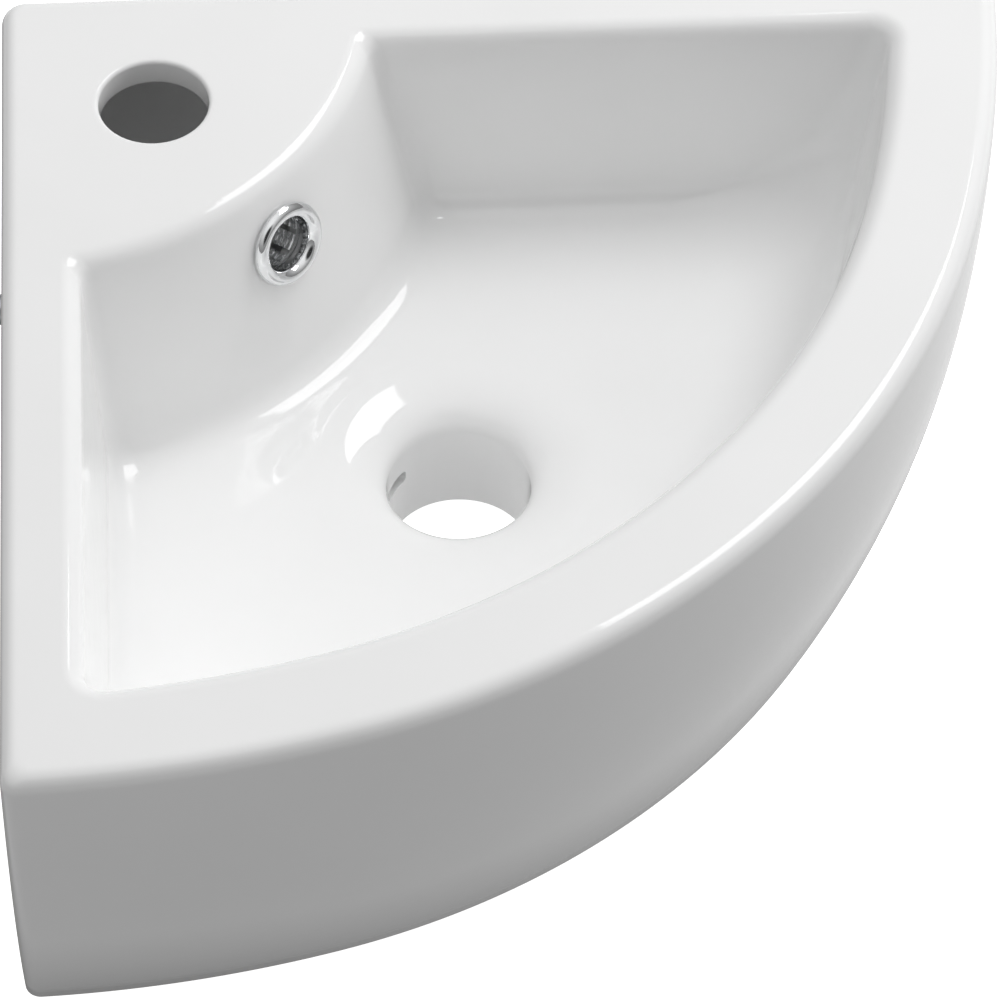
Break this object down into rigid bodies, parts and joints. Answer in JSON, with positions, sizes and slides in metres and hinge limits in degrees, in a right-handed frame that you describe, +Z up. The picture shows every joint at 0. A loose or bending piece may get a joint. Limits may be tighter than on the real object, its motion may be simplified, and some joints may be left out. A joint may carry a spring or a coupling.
{
  "type": "corner basin",
  "caption": "Wall-hung corner wash basin in white glazed ceramic: quarter-round rim and apron, tap platform with tap hole, overflow ring and open waste hole.",
  "frame": {"origin": "the room's corner line at the height of the rim: the two wall planes and the rim plane meet there", "axes": "+Z up; the left wall face looks along -X, the back wall face along +Y; the basin fills +X, -Y below the rim"},
  "size_m": [0.3799, 0.3799, 0.14],
  "materials": {
    "glazed_clay": "white gloss glaze",
    "chrome": "bright chrome plating",
    "white_plastic": "white moulded nylon",
    "zinc_steel": "zinc plated steel"
  },
  "bodies": {
    "basin": {"basin_body": "glazed_clay", "left_fixing_bush": "white_plastic", "left_fixing_washer": "zinc_steel", "left_fixing_nut": "zinc_steel", "left_hanger_bolt": "zinc_steel", "back_fixing_bush": "white_plastic", "back_fixing_washer": "zinc_steel", "back_fixing_nut": "zinc_steel", "back_hanger_bolt": "zinc_steel"},
    "overflow_ring": {"overflow_ring": "chrome"}
  },
  "joints": [
    {"name": "overflow_ring_pull", "type": "slide", "parent": "basin", "child": "overflow_ring", "axis": [0.686, -0.686, 0.2425], "range_m": [0, 0.02]}
  ]
}
